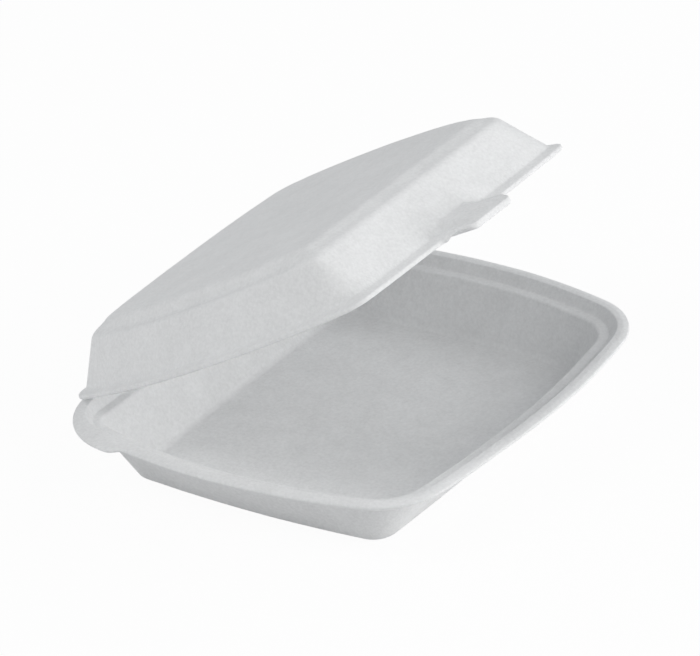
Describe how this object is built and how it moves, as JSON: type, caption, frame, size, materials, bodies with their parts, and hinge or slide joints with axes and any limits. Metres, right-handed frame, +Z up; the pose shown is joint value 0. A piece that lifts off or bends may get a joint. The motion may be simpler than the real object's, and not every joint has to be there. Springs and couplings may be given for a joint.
{
  "type": "hinged food container",
  "caption": "Foam clamshell meal container: shallow stepped-rim tray and matching raised-top lid hinged along the back, with a closing tongue.",
  "frame": {"origin": "middle of the plan of the tray, on the surface that the container stands on", "axes": "+X along the hinge line, -Y towards the front with the tongue, +Z up"},
  "size_m": [0.24, 0.2088, 0.1417],
  "materials": {
    "foam": "matte closed-cell foam with a fine cell texture"
  },
  "bodies": {
    "tray": {"tray": "foam"},
    "lid": {"lid": "foam"}
  },
  "joints": [
    {"name": "lid_hinge", "type": "hinge", "parent": "tray", "child": "lid", "pos_m": [0, 0.104, 0.0328], "axis": [-1, 0, 0], "range_deg": [-28.4, 151.6]}
  ]
}
